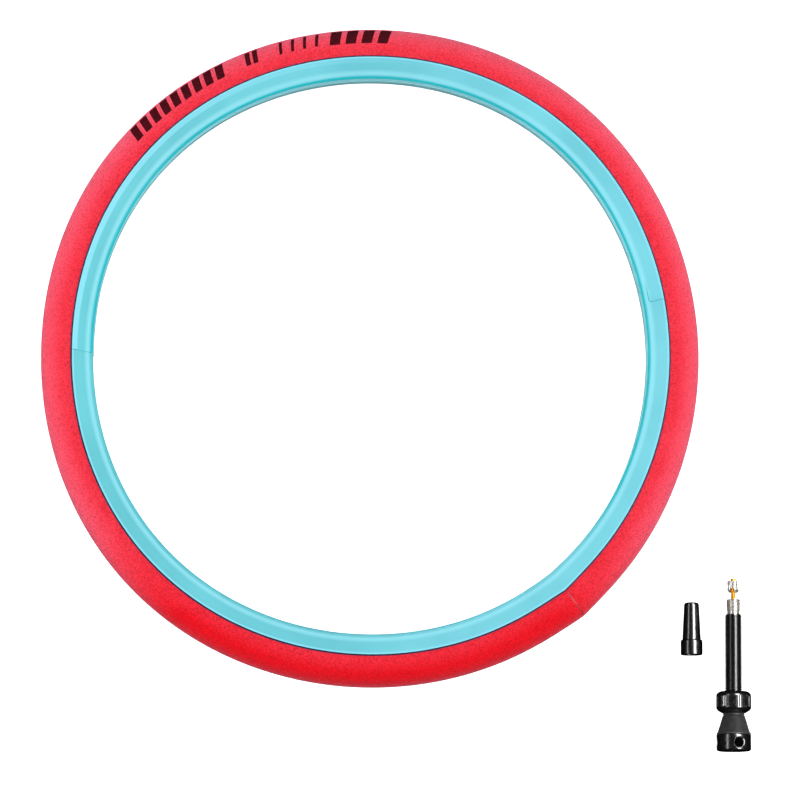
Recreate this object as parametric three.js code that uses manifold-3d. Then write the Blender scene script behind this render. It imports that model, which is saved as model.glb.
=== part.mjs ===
// Foam tyre insert for a tubeless 12 1/2 in bicycle wheel, with its tubeless valve and valve cap.
// The ring lies flat on the floor. The valve and its cap lie beside it, their tips towards +Y.
// Millimetres, +Z up. The origin is on the floor, under the middle of the whole layout.

import * as THREE from 'three';
import { mergeVertices } from 'three/addons/utils/BufferGeometryUtils.js';
import Module from 'manifold-3d';

// Clearances
const RUNNING_GAP = 0.05;
const FACE_GAP = 0.2;
const LAID_GAP = 0.3;

// Ring: free diameters and width, for a rim with a 203 mm bead seat
const HOLE_DIAMETER = 188;
const LINER_HEIGHT = 8;
const FOAM_HEIGHT = 9.75;
const RING_WIDTH = 20;
const SEAT_WIDTH = 12;
const SEAT_CORNER = 1.8;
const LEAST_CORNER = 0.45;
const LINER_WALL = 0.9;
const LAP_CLEARANCE = 0.1;
const SHOULDER_SETBACK = 0.7;
const SHOULDER_CHAMFER = 0.6;
const RING_SIDES = 72;

// Ring: where its joints are, in degrees anticlockwise from +X
const RIGHT_JOINT = 11.5;
const LEFT_JOINT = 178.5;
const LAP_LENGTH = 8;
const LAP_STEP = 1.6;
const SEAM_ANGLE = 309.5;
const GLUE_THICKNESS = 0.3;
const GLUE_GAP = 0.1;

// Valve stem, M6, with its ported foot. Heights run from the foot's end face towards the tip.
const THREAD_DIAMETER = 6;
const STEM_LENGTH = 46.3;
const STEM_CHAMFER = 0.45;
const STEM_WALL = 0.85;
const FOOT_DIAMETER = 11.7;
const FOOT_HEIGHT = 5.5;
const FOOT_ROUNDING = 0.9;
const PORT_DIAMETER = 3.4;
const PORT_COUNT = 4;
const PORT_TURN = 16;

// Rubber cone, lock nut and the ring between them. The walls are measured from the stem's clearance hole.
const CONE_HEIGHT = 6.3;
const CONE_TOP_WALL = 0.7;
const CONE_LIP = 0.5;
const O_RING_HEIGHT = 0.8;
const O_RING_WALL = 0.6;
const NUT_DIAMETER = 12.1;
const NUT_HEIGHT = 7.3;
const NUT_BOSS_WALL = 0.8;
const NUT_TOP_WALL = 1.25;
const NUT_BAND_BOTTOM = 1.9;
const NUT_BAND_HEIGHT = 3.8;

// Valve core: its head carries the 5.2 mm cap thread and two wrench flats
const CORE_HEAD_DIAMETER = 5.2;
const CORE_FLATS = 4.4;
const CORE_HEAD_HEIGHT = 3.8;
const CORE_NECK_STEP = 0.2;
const CORE_NECK_HEIGHT = 1.2;
const CORE_SHANK_LENGTH = 6.4;
const CORE_TUBE_LENGTH = 5;
const CORE_TUBE_WALL = 0.5;
const GASKET_HEIGHT = 1;
const GASKET_LEDGE = 0.45;
const AIR_GAP = 0.15;
const PIN_AIR_GAP = 0.25;
const PIN_GAP_TO_NUT = 2.4;
const PIN_TIP_FLARE = 0.13;
const PIN_TIP_HEIGHT = 0.9;
const PIN_SEAL_HEIGHT = 1;
const PIN_COLLAR_STEP = 0.25;
const PIN_COLLAR_HEIGHT = 0.6;
const CORE_NUT_WALL = 1.2;
const CORE_NUT_HEIGHT = 3.8;
const CORE_NUT_SKIRT_WALL = 0.65;
const CORE_NUT_SKIRT_HEIGHT = 1;

// Cap
const CAP_LENGTH = 17.8;
const CAP_CLEARANCE = 0.1;
const CAP_NUT_CLEARANCE = 0.15;
const CAP_SKIRT_WALL = 1;
const CAP_SKIRT_HEIGHT = 5.1;
const CAP_NECK_WALL = 0.4;
const CAP_TOP_WALL = 0.3;
const CAP_ROUNDING = 0.9;
const CAP_BORE_DEPTH = 9;
const CAP_END_WALL = 2.2;

// Where the loose pieces lie: their axes beside the ring's outside, their open ends below its centre
const VALVE_ASIDE = 11.25;
const VALVE_BELOW = 20.95;
const CAP_ASIDE = -2.75;
const CAP_BELOW = -11.75;

// Facets
const TURNED_SIDES = 32;
const SMALL_SIDES = 24;
const SLICE_STEP = 15;
const MERGE_DISTANCE = 1e-3;

// A rounding made of two chamfers meets this share of its radius in from each face.
const CHAMFER_SHARE = 0.3;

const wasm = await Module();
wasm.setup();

// Booleans

function toSolid(geometry) {
  const bare = geometry.index ? geometry.toNonIndexed() : geometry.clone();
  bare.deleteAttribute('normal');
  bare.deleteAttribute('uv');
  const merged = mergeVertices(bare, MERGE_DISTANCE);
  const mesh = new wasm.Mesh({
    numProp: 3,
    vertProperties: merged.attributes.position.array,
    triVerts: new Uint32Array(merged.index.array),
  });
  return new wasm.Manifold(mesh);
}

function toGeometry(solid) {
  const mesh = solid.getMesh();
  const geometry = new THREE.BufferGeometry();
  geometry.setAttribute('position', new THREE.BufferAttribute(mesh.vertProperties, 3));
  geometry.setIndex(new THREE.BufferAttribute(mesh.triVerts, 1));
  geometry.computeVertexNormals();
  return geometry;
}

// Materials and nodes

const finishes = {
  foam: { color: 0xe8304a, roughness: 0.9, metalness: 0 },
  glue: { color: 0xa81830, roughness: 0.6, metalness: 0 },
  liner: { color: 0x79d8ea, roughness: 0.45, metalness: 0 },
  blackMetal: { color: 0x0c0c0d, roughness: 0.25, metalness: 0.8 },
  rubber: { color: 0x1b1b1d, roughness: 0.75, metalness: 0 },
  nickel: { color: 0xc9c4bd, roughness: 0.25, metalness: 1 },
  brass: { color: 0xd99a1c, roughness: 0.3, metalness: 1 },
  sealPlastic: { color: 0xe6e4de, roughness: 0.5, metalness: 0 },
  capPlastic: { color: 0x131314, roughness: 0.2, metalness: 0 },
};

function node(name, geometry, finish) {
  const mesh = new THREE.Mesh(geometry, new THREE.MeshStandardMaterial(finishes[finish]));
  mesh.name = name;
  return mesh;
}

// A turned piece: its outline in (radius, height) runs anticlockwise, and closes on itself or on the axis.
function turned(outline, sides) {
  const points = outline.map(([radius, height]) => new THREE.Vector2(radius, height));
  return new THREE.LatheGeometry(points, sides);
}

function turnedRing(outline, sides) {
  return turned([...outline, outline[0]], sides);
}

// Ring sections, as half outlines of (radius, half width) from the foam's side to the hole's side

const holeRadius = HOLE_DIAMETER / 2;
const splitRadius = holeRadius + LINER_HEIGHT;
const ringRadius = splitRadius + FOAM_HEIGHT;
const flankSlope = (RING_WIDTH - SEAT_WIDTH) / 2 / LINER_HEIGHT;
const flankAngle = Math.atan(flankSlope);

// The channel's outline, moved into the material by the inset: the lip, the flank and the seat on the rim
function channelOutline(inset) {
  const lipHalfWidth = RING_WIDTH / 2 - inset / Math.cos(flankAngle);
  const seatRadius = holeRadius + inset;
  const cornerHalfWidth = lipHalfWidth - (splitRadius - seatRadius) * flankSlope;
  const corner = new THREE.Vector2(seatRadius, cornerHalfWidth);
  const rounding = Math.max(SEAT_CORNER - inset, LEAST_CORNER);
  const onFlank = corner.clone().add(new THREE.Vector2(1, flankSlope).setLength(rounding));
  const onSeat = new THREE.Vector2(seatRadius, cornerHalfWidth - rounding);
  const bend = new THREE.QuadraticBezierCurve(onFlank, corner, onSeat).getPoints(3);
  return [[splitRadius, lipHalfWidth], ...bend.map((point) => [point.x, point.y])];
}

function mirrored(half) {
  return half.map(([radius, halfWidth]) => [radius, -halfWidth]);
}

function foamOutline() {
  const footInset = LINER_WALL + LAID_GAP;
  const foot = channelOutline(footInset);
  const underside = splitRadius + LAID_GAP;
  const domeHalfWidth = RING_WIDTH / 2 - SHOULDER_SETBACK;
  const domeBase = underside + SHOULDER_CHAMFER;
  const domeRise = ringRadius - domeBase;
  const domeSteps = 8;
  const half = [];
  for (let step = 1; step <= domeSteps; step += 1) {
    const angle = (Math.PI / 2) * (step / domeSteps);
    half.push([domeBase + domeRise * Math.cos(angle), domeHalfWidth * Math.sin(angle)]);
  }
  half.push([underside, domeHalfWidth - SHOULDER_CHAMFER]);
  half.push([underside, foot[0][1]]);
  half.push(...foot);
  const crown = [ringRadius, 0];
  return [crown, ...half, ...mirrored(half).reverse()];
}

function shellOutline(outerInset, innerInset) {
  const outside = channelOutline(outerInset);
  const inside = channelOutline(innerInset);
  return [...outside, ...mirrored(outside).reverse(), ...mirrored(inside), ...[...inside].reverse()];
}

function ringSolid(outline) {
  const geometry = turnedRing(outline, RING_SIDES);
  geometry.rotateX(Math.PI / 2);
  return toSolid(geometry);
}

// A pie slice tall enough to cut the whole ring, between two angles in degrees
function slice(startAngle, endAngle) {
  const reach = ringRadius * 2;
  const shape = new THREE.Shape();
  shape.moveTo(0, 0);
  const steps = Math.ceil((endAngle - startAngle) / SLICE_STEP);
  for (let step = 0; step <= steps; step += 1) {
    const angle = THREE.MathUtils.degToRad(startAngle + ((endAngle - startAngle) * step) / steps);
    shape.lineTo(reach * Math.cos(angle), reach * Math.sin(angle));
  }
  const geometry = new THREE.ExtrudeGeometry(shape, { depth: RING_WIDTH * 2, bevelEnabled: false });
  geometry.translate(0, 0, -RING_WIDTH);
  return toSolid(geometry);
}

// The angle, in degrees, that a length along the liner's seat takes up
function seatAngle(length) {
  return THREE.MathUtils.radToDeg(length / holeRadius);
}

// Ring pieces

function foamRing() {
  const slot = new THREE.BoxGeometry(ringRadius, GLUE_THICKNESS + 2 * GLUE_GAP, RING_WIDTH * 2);
  return ringSolid(foamOutline()).subtract(atSeam(slot));
}

function seamGlue() {
  const film = new THREE.BoxGeometry(ringRadius, GLUE_THICKNESS, RING_WIDTH * 2);
  return ringSolid(foamOutline()).intersect(atSeam(film));
}

function atSeam(box) {
  box.translate(ringRadius, 0, 0);
  box.rotateZ(THREE.MathUtils.degToRad(SEAM_ANGLE));
  return toSolid(box);
}

// The upper liner's ends are belled out by one wall, so that they lap over the lower liner.
function linerUpper() {
  const lap = seatAngle(LAP_LENGTH);
  const step = seatAngle(LAP_STEP);
  const raised = -(LINER_WALL + LAP_CLEARANCE);
  const plain = ringSolid(shellOutline(0, LINER_WALL));
  const bell = ringSolid(shellOutline(raised, -LAP_CLEARANCE));
  const joggle = ringSolid(shellOutline(raised, LINER_WALL));
  const parts = [
    plain.intersect(slice(RIGHT_JOINT + lap, LEFT_JOINT - lap)),
    joggle.intersect(slice(RIGHT_JOINT + lap, RIGHT_JOINT + lap + step)),
    joggle.intersect(slice(LEFT_JOINT - lap - step, LEFT_JOINT - lap)),
    bell.intersect(slice(RIGHT_JOINT, RIGHT_JOINT + lap + step)),
    bell.intersect(slice(LEFT_JOINT - lap - step, LEFT_JOINT)),
  ];
  return parts.reduce((whole, part) => whole.add(part));
}

function linerLower() {
  const reach = seatAngle(LAP_LENGTH - LAID_GAP);
  const shell = ringSolid(shellOutline(0, LINER_WALL));
  return shell.intersect(slice(LEFT_JOINT - reach, 360 + RIGHT_JOINT + reach));
}

function makeRing() {
  const ring = new THREE.Group();
  ring.add(node('foam_ring', toGeometry(foamRing()), 'foam'));
  ring.add(node('foam_seam_glue', toGeometry(seamGlue()), 'glue'));
  ring.add(node('liner_upper', toGeometry(linerUpper()), 'liner'));
  ring.add(node('liner_lower', toGeometry(linerLower()), 'liner'));
  return ring;
}

// Valve pieces: each is turned about the valve's own axis, from the foot's end face at height 0

const stemRadius = THREAD_DIAMETER / 2;
const footRadius = FOOT_DIAMETER / 2;
const clearOfStem = stemRadius + RUNNING_GAP;
const coneBottom = FOOT_HEIGHT + FACE_GAP;
const coneTop = coneBottom + CONE_HEIGHT;
const nutBottom = coneTop + RUNNING_GAP + O_RING_HEIGHT + RUNNING_GAP;
const chamberRadius = stemRadius - STEM_WALL;
const airRadius = chamberRadius - GASKET_LEDGE;
const shankRadius = chamberRadius - RUNNING_GAP;
const tubeRadius = airRadius - AIR_GAP;
const coreBoreRadius = tubeRadius - CORE_TUBE_WALL;
const pinRadius = coreBoreRadius - PIN_AIR_GAP;
const clearOfPin = pinRadius + RUNNING_GAP;
const coreNutRadius = clearOfPin + CORE_NUT_WALL;
const headRadius = CORE_HEAD_DIAMETER / 2;
const neckBottom = STEM_LENGTH + RUNNING_GAP;
const headBottom = neckBottom + CORE_NECK_HEIGHT;
const headTop = headBottom + CORE_HEAD_HEIGHT;
const shankBottom = neckBottom - CORE_SHANK_LENGTH;
const gasketTop = shankBottom - RUNNING_GAP;
const gasketLedge = gasketTop - GASKET_HEIGHT - RUNNING_GAP;
const tubeBottom = shankBottom - CORE_TUBE_LENGTH;
const pinSealTop = tubeBottom - RUNNING_GAP;
const pinCollarTop = pinSealTop - PIN_SEAL_HEIGHT - RUNNING_GAP;
const pinBottom = pinCollarTop - PIN_COLLAR_HEIGHT - RUNNING_GAP;
const coreNutBottom = headTop + PIN_GAP_TO_NUT;
const pinTipBottom = coreNutBottom + CORE_NUT_HEIGHT + RUNNING_GAP;

function valveStem() {
  const edge = FOOT_ROUNDING * CHAMFER_SHARE;
  const outline = [
    [airRadius, 0],
    [footRadius - FOOT_ROUNDING, 0],
    [footRadius - edge, edge],
    [footRadius, FOOT_ROUNDING],
    [footRadius, FOOT_HEIGHT - edge],
    [footRadius - edge, FOOT_HEIGHT],
    [stemRadius, FOOT_HEIGHT],
    [stemRadius, STEM_LENGTH - STEM_CHAMFER],
    [stemRadius - STEM_CHAMFER, STEM_LENGTH],
    [chamberRadius, STEM_LENGTH],
    [chamberRadius, gasketLedge],
    [airRadius, gasketLedge],
  ];
  let stem = toSolid(turnedRing(outline, TURNED_SIDES));
  for (let port = 0; port < PORT_COUNT; port += 1) {
    const drill = new THREE.CylinderGeometry(PORT_DIAMETER / 2, PORT_DIAMETER / 2, FOOT_DIAMETER, SMALL_SIDES);
    drill.rotateX(Math.PI / 2);
    drill.translate(0, FOOT_HEIGHT / 2, FOOT_DIAMETER / 2);
    drill.rotateY(THREE.MathUtils.degToRad(PORT_TURN + (360 * port) / PORT_COUNT));
    stem = stem.subtract(toSolid(drill));
  }
  return toGeometry(stem);
}

function coneSeal() {
  return turnedRing([
    [clearOfStem, coneBottom],
    [footRadius, coneBottom],
    [footRadius, coneBottom + CONE_LIP],
    [clearOfStem + CONE_TOP_WALL, coneTop],
    [clearOfStem, coneTop],
  ], TURNED_SIDES);
}

function nutORing() {
  const middle = coneTop + RUNNING_GAP + O_RING_HEIGHT / 2;
  const halfThickness = O_RING_WALL / 2;
  const outline = [];
  const steps = 8;
  for (let step = 0; step < steps; step += 1) {
    const angle = (2 * Math.PI * step) / steps;
    const radius = clearOfStem + halfThickness * (1 + Math.cos(angle));
    outline.push([radius, middle + (O_RING_HEIGHT / 2) * Math.sin(angle)]);
  }
  return turnedRing(outline, TURNED_SIDES);
}

function lockNut() {
  const nutRadius = NUT_DIAMETER / 2;
  const bandBottom = nutBottom + NUT_BAND_BOTTOM;
  const bandTop = bandBottom + NUT_BAND_HEIGHT;
  const nutTop = nutBottom + NUT_HEIGHT;
  return turnedRing([
    [clearOfStem, nutBottom],
    [clearOfStem + NUT_BOSS_WALL, nutBottom],
    [nutRadius, bandBottom],
    [nutRadius, bandTop],
    [nutRadius - (nutTop - bandTop) / 2, nutTop - (nutTop - bandTop) / 4],
    [clearOfStem + NUT_TOP_WALL, nutTop],
    [clearOfStem, nutTop],
  ], TURNED_SIDES);
}

function coreBody() {
  const neckRadius = shankRadius - CORE_NECK_STEP;
  const body = toSolid(turnedRing([
    [coreBoreRadius, tubeBottom],
    [tubeRadius, tubeBottom],
    [tubeRadius, shankBottom],
    [shankRadius, shankBottom],
    [shankRadius, neckBottom],
    [neckRadius, neckBottom],
    [neckRadius, headBottom],
    [headRadius, headBottom],
    [headRadius, headTop],
    [coreBoreRadius, headTop],
  ], SMALL_SIDES));
  const flats = new THREE.BoxGeometry(CORE_FLATS, STEM_LENGTH * 2, CORE_HEAD_DIAMETER * 2);
  flats.translate(0, headBottom, 0);
  return toGeometry(body.intersect(toSolid(flats)));
}

// A flat ring, hung below the given height
function disc(inner, outer, top, height) {
  return turnedRing([
    [inner, top - height],
    [outer, top - height],
    [outer, top],
    [inner, top],
  ], SMALL_SIDES);
}

// The gasket sits on the ledge in the stem, round the core's tube and under its shank.
function coreGasket() {
  return disc(tubeRadius + RUNNING_GAP, shankRadius, gasketTop, GASKET_HEIGHT);
}

function corePinSeal() {
  return disc(clearOfPin, tubeRadius, pinSealTop, PIN_SEAL_HEIGHT);
}

function corePinCollar() {
  return disc(clearOfPin, tubeRadius - PIN_COLLAR_STEP, pinCollarTop, PIN_COLLAR_HEIGHT);
}

function corePin() {
  const tipTop = pinTipBottom + PIN_TIP_HEIGHT;
  return turned([
    [0, pinBottom],
    [pinRadius, pinBottom],
    [pinRadius, pinTipBottom],
    [pinRadius + PIN_TIP_FLARE, pinTipBottom],
    [pinRadius + PIN_TIP_FLARE, tipTop],
    [0, tipTop],
  ], SMALL_SIDES);
}

function coreNut() {
  const skirtTop = coreNutBottom + CORE_NUT_SKIRT_HEIGHT;
  const top = coreNutBottom + CORE_NUT_HEIGHT;
  return turnedRing([
    [clearOfPin, coreNutBottom],
    [clearOfPin + CORE_NUT_SKIRT_WALL, coreNutBottom],
    [coreNutRadius, skirtTop],
    [coreNutRadius, top],
    [clearOfPin, top],
  ], SMALL_SIDES);
}

function makeValve() {
  const valve = new THREE.Group();
  valve.add(node('valve_stem', valveStem(), 'blackMetal'));
  valve.add(node('cone_seal', coneSeal(), 'rubber'));
  valve.add(node('nut_o_ring', nutORing(), 'rubber'));
  valve.add(node('lock_nut', lockNut(), 'blackMetal'));
  valve.add(node('core_body', coreBody(), 'nickel'));
  valve.add(node('core_gasket', coreGasket(), 'sealPlastic'));
  valve.add(node('core_pin', corePin(), 'brass'));
  valve.add(node('core_pin_seal', corePinSeal(), 'rubber'));
  valve.add(node('core_pin_collar', corePinCollar(), 'brass'));
  valve.add(node('core_nut', coreNut(), 'nickel'));
  return valve;
}

// The cap screws on the core's head, and its narrower tip clears the core nut. Height 0 is its open end.
const capBoreRadius = headRadius + CAP_CLEARANCE;
const capSkirtRadius = capBoreRadius + CAP_SKIRT_WALL;

function valveCap() {
  const tipBoreRadius = coreNutRadius + CAP_NUT_CLEARANCE;
  const topRadius = tipBoreRadius + CAP_TOP_WALL;
  const tipBoreEnd = CAP_LENGTH - CAP_END_WALL;
  const edge = CAP_ROUNDING * CHAMFER_SHARE;
  return turned([
    [0, tipBoreEnd],
    [tipBoreRadius, tipBoreEnd],
    [tipBoreRadius, CAP_BORE_DEPTH],
    [capBoreRadius, CAP_BORE_DEPTH],
    [capBoreRadius, 0],
    [capSkirtRadius, 0],
    [capSkirtRadius, CAP_SKIRT_HEIGHT],
    [capBoreRadius + CAP_NECK_WALL, CAP_SKIRT_HEIGHT + edge],
    [topRadius, CAP_LENGTH - CAP_ROUNDING],
    [topRadius - edge, CAP_LENGTH - edge],
    [topRadius - CAP_ROUNDING, CAP_LENGTH],
    [0, CAP_LENGTH],
  ], TURNED_SIDES);
}

// Layout: everything rests on the floor, and the whole is centred on the origin.

const bellRaise = (LINER_WALL + LAP_CLEARANCE) / Math.cos(flankAngle);
const ringHalfHeight = RING_WIDTH / 2 + bellRaise;

const ring = makeRing();
ring.position.z = ringHalfHeight;

const valve = makeValve();
valve.position.set(ringRadius + VALVE_ASIDE, -(ringRadius + VALVE_BELOW), NUT_DIAMETER / 2);

const cap = new THREE.Group();
cap.add(node('valve_cap', valveCap(), 'capPlastic'));
cap.position.set(ringRadius + CAP_ASIDE, -(ringRadius + CAP_BELOW), capSkirtRadius);

const layout = new THREE.Group();
layout.add(ring, valve, cap);
layout.position.set(-(VALVE_ASIDE + NUT_DIAMETER / 2) / 2, VALVE_BELOW / 2, 0);

const insertWithValve = new THREE.Group();
insertWithValve.add(layout);

export default insertWithValve;
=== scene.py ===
"""A foam tyre insert lying flat, with its tubeless valve and valve cap beside it.

Shapes are built in millimetres, in the frame of their own axis, and placed where the CAD part has them.
"""

import math

import bmesh
import bpy
from mathutils import Matrix, Vector


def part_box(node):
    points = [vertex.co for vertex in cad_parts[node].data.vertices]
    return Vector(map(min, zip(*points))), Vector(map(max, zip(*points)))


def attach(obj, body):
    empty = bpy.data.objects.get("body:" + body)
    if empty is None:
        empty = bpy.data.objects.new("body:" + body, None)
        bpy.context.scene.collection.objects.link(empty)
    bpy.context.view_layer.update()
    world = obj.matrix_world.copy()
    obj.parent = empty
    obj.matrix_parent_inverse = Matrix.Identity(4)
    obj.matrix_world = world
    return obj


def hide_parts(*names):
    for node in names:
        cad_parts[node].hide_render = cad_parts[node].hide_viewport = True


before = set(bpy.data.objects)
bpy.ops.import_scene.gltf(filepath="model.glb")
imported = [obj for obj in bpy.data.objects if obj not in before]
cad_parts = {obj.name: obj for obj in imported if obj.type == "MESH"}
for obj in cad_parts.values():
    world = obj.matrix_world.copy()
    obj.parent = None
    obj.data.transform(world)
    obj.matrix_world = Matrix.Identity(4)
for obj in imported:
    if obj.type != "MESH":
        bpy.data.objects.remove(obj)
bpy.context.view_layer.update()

MM = 0.001
FULL_TURN = 2 * math.pi

# Ring sizes, as radii and half widths
HOLE_RADIUS = 94.0
SPLIT_RADIUS = 101.2
CROWN_RADIUS = 111.75
LIP_HALF_WIDTH = 10.0
SEAT_HALF_WIDTH = 6.0
FLANK_SLOPE = (LIP_HALF_WIDTH - SEAT_HALF_WIDTH) / (SPLIT_RADIUS - HOLE_RADIUS)
FLANK_COSINE = math.cos(math.atan(FLANK_SLOPE))
SEAT_CORNER = 1.8
LEAST_CORNER = 0.45
LINER_WALL = 0.9
GROOVE_DEPTH = 0.3
DOME_HALF_WIDTH = 9.3
DOME_SQUARENESS = 2.15
SHOULDER = 0.6
LAID_GAP = 0.3
DOME_BASE = SPLIT_RADIUS + LAID_GAP + SHOULDER
MAP_HEIGHT = 10.0

# Where the ring's joints are, in degrees anticlockwise from +X
RIGHT_JOINT = 10.9
LEFT_JOINT = 179.2
SEAM_ANGLE = 309.5
LAP_ANGLE = 4.88
LAP_RAMP_ANGLE = 9.0
TUCK_ANGLE = 0.1
TUCK_RAMP_ANGLE = 1.6
END_SLANT = 0.5
LOWER_REACH_ANGLE = 4.69
FLAP_ANGLE = 4.4

# Lifts and tucks of the liner's walls at its joints, its flap, and the thin films on the ring
LEFT_LIFT = 0.5
RIGHT_LIFT_OUTSIDE = 0.16
RIGHT_LIFT_INSIDE = 0.88
LEFT_TUCK = 0.44
RIGHT_TUCK = 0.12
SEAT_LIFT_SHARE = 0.4
FLAP_RADIUS = 96.4
FLAP_CORNER = 0.9
GLUE_THICKNESS = 0.3
GLUE_CLEARANCE = 0.01
FILM_INSET = 0.25
INK_LIFT = 0.03

# How a real ring settles: it is a little square, and its seam pushes out
LOBE_HEIGHT = 0.5
LOBE_COUNT = 4
LOBE_ANGLE = 48.0
STRETCH = 0.65
CUSP_HEIGHT = 0.9
CUSP_SPREAD = 3.2
CUSP_ROUNDING = 0.5
CUSP_LEAST_SHARE = 0.35

# Valve sizes, as radii and heights above the foot's end face
STEM_RADIUS = 3.0
STEM_ROOT_RADIUS = 2.53
STEM_CHAMFER = 0.45
THREAD_PITCH = 0.8
CREST_GAP = 0.01
STEM_TOP = 46.3
STEM_HOLE_RADIUS = 3.05
AIR_RADIUS = 1.7
CHAMBER_RADIUS = 2.15
CHAMBER_BOTTOM = 38.85
FOOT_RADIUS = 5.85
FOOT_TOP = 5.5
FOOT_EDGE = 0.75
PORT_RADIUS = 1.7
PORT_TURN = 16.0
RIM_WIDTH = 0.3
RIM_DEPTH = 0.5
CONE_BOTTOM = 5.7
CONE_TOP = 12.0
CONE_TOP_RADIUS = 3.75
TURNING_LINE_DEPTH = 0.035
NUT_BOTTOM = 12.9
NUT_TOP = 20.2
NUT_RADIUS = 6.05
NUT_FLATS = 11.35
NUT_TURN = -12.0
BAND_BOTTOM = 14.8
BAND_TOP = 18.6
RIDGES = 54
RIDGE_DEPTH = 0.2
SHANK_RADIUS = 2.1
NECK_BOTTOM = 46.35
HEAD_BOTTOM = 47.55
HEAD_TOP = 51.35
HEAD_RADIUS = 2.6
HEAD_PITCH = 1.058
HEAD_FLATS = 4.4
CORE_BOTTOM = 34.95
CORE_BORE_RADIUS = 1.05
PIN_RADIUS = 0.8
CORE_NUT_BOTTOM = 53.75
CORE_NUT_TOP = 57.55
CORE_NUT_RADIUS = 2.05
CORE_NUT_BORE_RADIUS = 0.85
CORE_NUT_FLUTES = 12
SLOT_TURN = -16.0
PIN_TIP_TOP = 58.5
CAP_LENGTH = 17.8


# ---------------------------------------------------------------------------------------------
# Mesh helpers


def wire(points, closed):
    """A wire through (radius, height) points, in the XZ plane."""
    bm = bmesh.new()
    verts = [bm.verts.new((radius, 0, height)) for radius, height in points]
    for first, second in zip(verts, verts[1:]):
        bm.edges.new((first, second))
    if closed:
        bm.edges.new((verts[-1], verts[0]))
    return bm


def tidy(bm):
    bmesh.ops.remove_doubles(bm, verts=bm.verts, dist=1e-4)
    bmesh.ops.recalc_face_normals(bm, faces=bm.faces)


def rotated(bm, degrees, axis):
    turn = Matrix.Rotation(math.radians(degrees), 3, axis)
    bmesh.ops.rotate(bm, verts=bm.verts, cent=(0, 0, 0), matrix=turn)
    return bm


def turned(points, steps=96):
    """A solid turned about Z. Its outline closes on the axis, or on itself."""
    on_axis = points[0][0] == 0 and points[-1][0] == 0
    bm = wire(points, closed=not on_axis)
    bmesh.ops.spin(
        bm, geom=bm.verts[:] + bm.edges[:], cent=(0, 0, 0), axis=(0, 0, 1), angle=FULL_TURN, steps=steps,
        use_merge=True,
    )
    tidy(bm)
    return bm


def soften(bm, width, segments=2, least_angle=25.0, lowest=-math.inf, highest=math.inf):
    """Rounds the sharp edges whose middles lie between two heights."""
    limit = math.radians(least_angle)
    sharp = []
    for edge in bm.edges:
        middle = (edge.verts[0].co.z + edge.verts[1].co.z) / 2
        if len(edge.link_faces) == 2 and lowest <= middle <= highest and edge.calc_face_angle() > limit:
            sharp.append(edge)
    bmesh.ops.bevel(
        bm, geom=sharp, offset=width, offset_type="OFFSET", segments=segments, profile=0.5,
        affect="EDGES", clamp_overlap=True, material=-1,
    )
    return bm


def thread(root, crest, pitch, bottom, top, steps=40, crest_share=0.16, root_share=0.2):
    """A solid rod with a helical thread, cut off square at both ends."""
    flank = (1 - crest_share - root_share) / 2
    section = [
        (root, 0),
        (crest, flank * pitch),
        (crest, (flank + crest_share) * pitch),
        (root, (2 * flank + crest_share) * pitch),
        (root, pitch),
    ]
    turns = math.ceil((top - bottom) / pitch) + 2
    bm = wire(section, closed=False)
    bmesh.ops.translate(bm, verts=bm.verts, vec=(0, 0, bottom - pitch))
    bmesh.ops.spin(
        bm, geom=bm.verts[:] + bm.edges[:], cent=(0, 0, 0), axis=(0, 0, 1), angle=FULL_TURN * turns,
        steps=steps * turns, dvec=(0, 0, pitch / steps),
    )
    bmesh.ops.remove_doubles(bm, verts=bm.verts, dist=1e-3)
    for height, direction in ((bottom, -1), (top, 1)):
        bmesh.ops.bisect_plane(
            bm, geom=bm.verts[:] + bm.edges[:] + bm.faces[:], dist=1e-5, plane_co=(0, 0, height),
            plane_no=(0, 0, direction), clear_outer=True,
        )
        open_edges = [edge for edge in bm.edges if edge.is_boundary]
        rim = [edge for edge in open_edges if all(abs(vert.co.z - height) < 1e-3 for vert in edge.verts)]
        bmesh.ops.contextual_create(bm, geom=rim)
    bmesh.ops.recalc_face_normals(bm, faces=bm.faces)
    return bm


def taper_end(bm, radius_at):
    """Draws in whatever stands outside a radius that depends on the height."""
    for vert in bm.verts:
        reach = math.hypot(vert.co.x, vert.co.y)
        limit = radius_at(vert.co.z)
        if reach > limit:
            vert.co.x *= limit / reach
            vert.co.y *= limit / reach
    return bm


def rod(radius, bottom, top, steps=48):
    return turned([(0, bottom), (radius, bottom), (radius, top), (0, top)], steps)


def box(width, depth, bottom, top):
    bm = bmesh.new()
    bmesh.ops.create_cube(bm, size=1)
    bmesh.ops.scale(bm, vec=(width, depth, top - bottom), verts=bm.verts)
    bmesh.ops.translate(bm, vec=(0, 0, (bottom + top) / 2), verts=bm.verts)
    return bm


def spare(bm):
    """A scratch object that holds a mesh for a boolean."""
    mesh = bpy.data.meshes.new("scratch")
    bm.to_mesh(mesh)
    bm.free()
    piece = bpy.data.objects.new("scratch", mesh)
    bpy.context.scene.collection.objects.link(piece)
    return piece


def combined(body, tool, operation):
    """The body with the tool's shape joined on, or taken away."""
    body_piece = spare(body)
    tool_piece = spare(tool)
    modifier = body_piece.modifiers.new("combine", "BOOLEAN")
    modifier.object = tool_piece
    modifier.operation = operation
    modifier.solver = "EXACT"
    result = bmesh.new()
    result.from_object(body_piece, bpy.context.evaluated_depsgraph_get())
    for piece in (body_piece, tool_piece):
        mesh = piece.data
        bpy.data.objects.remove(piece)
        bpy.data.meshes.remove(mesh)
    return result


def joined(body, tool):
    return combined(body, tool, "UNION")


def carved(body, tool):
    return combined(body, tool, "DIFFERENCE")


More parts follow.
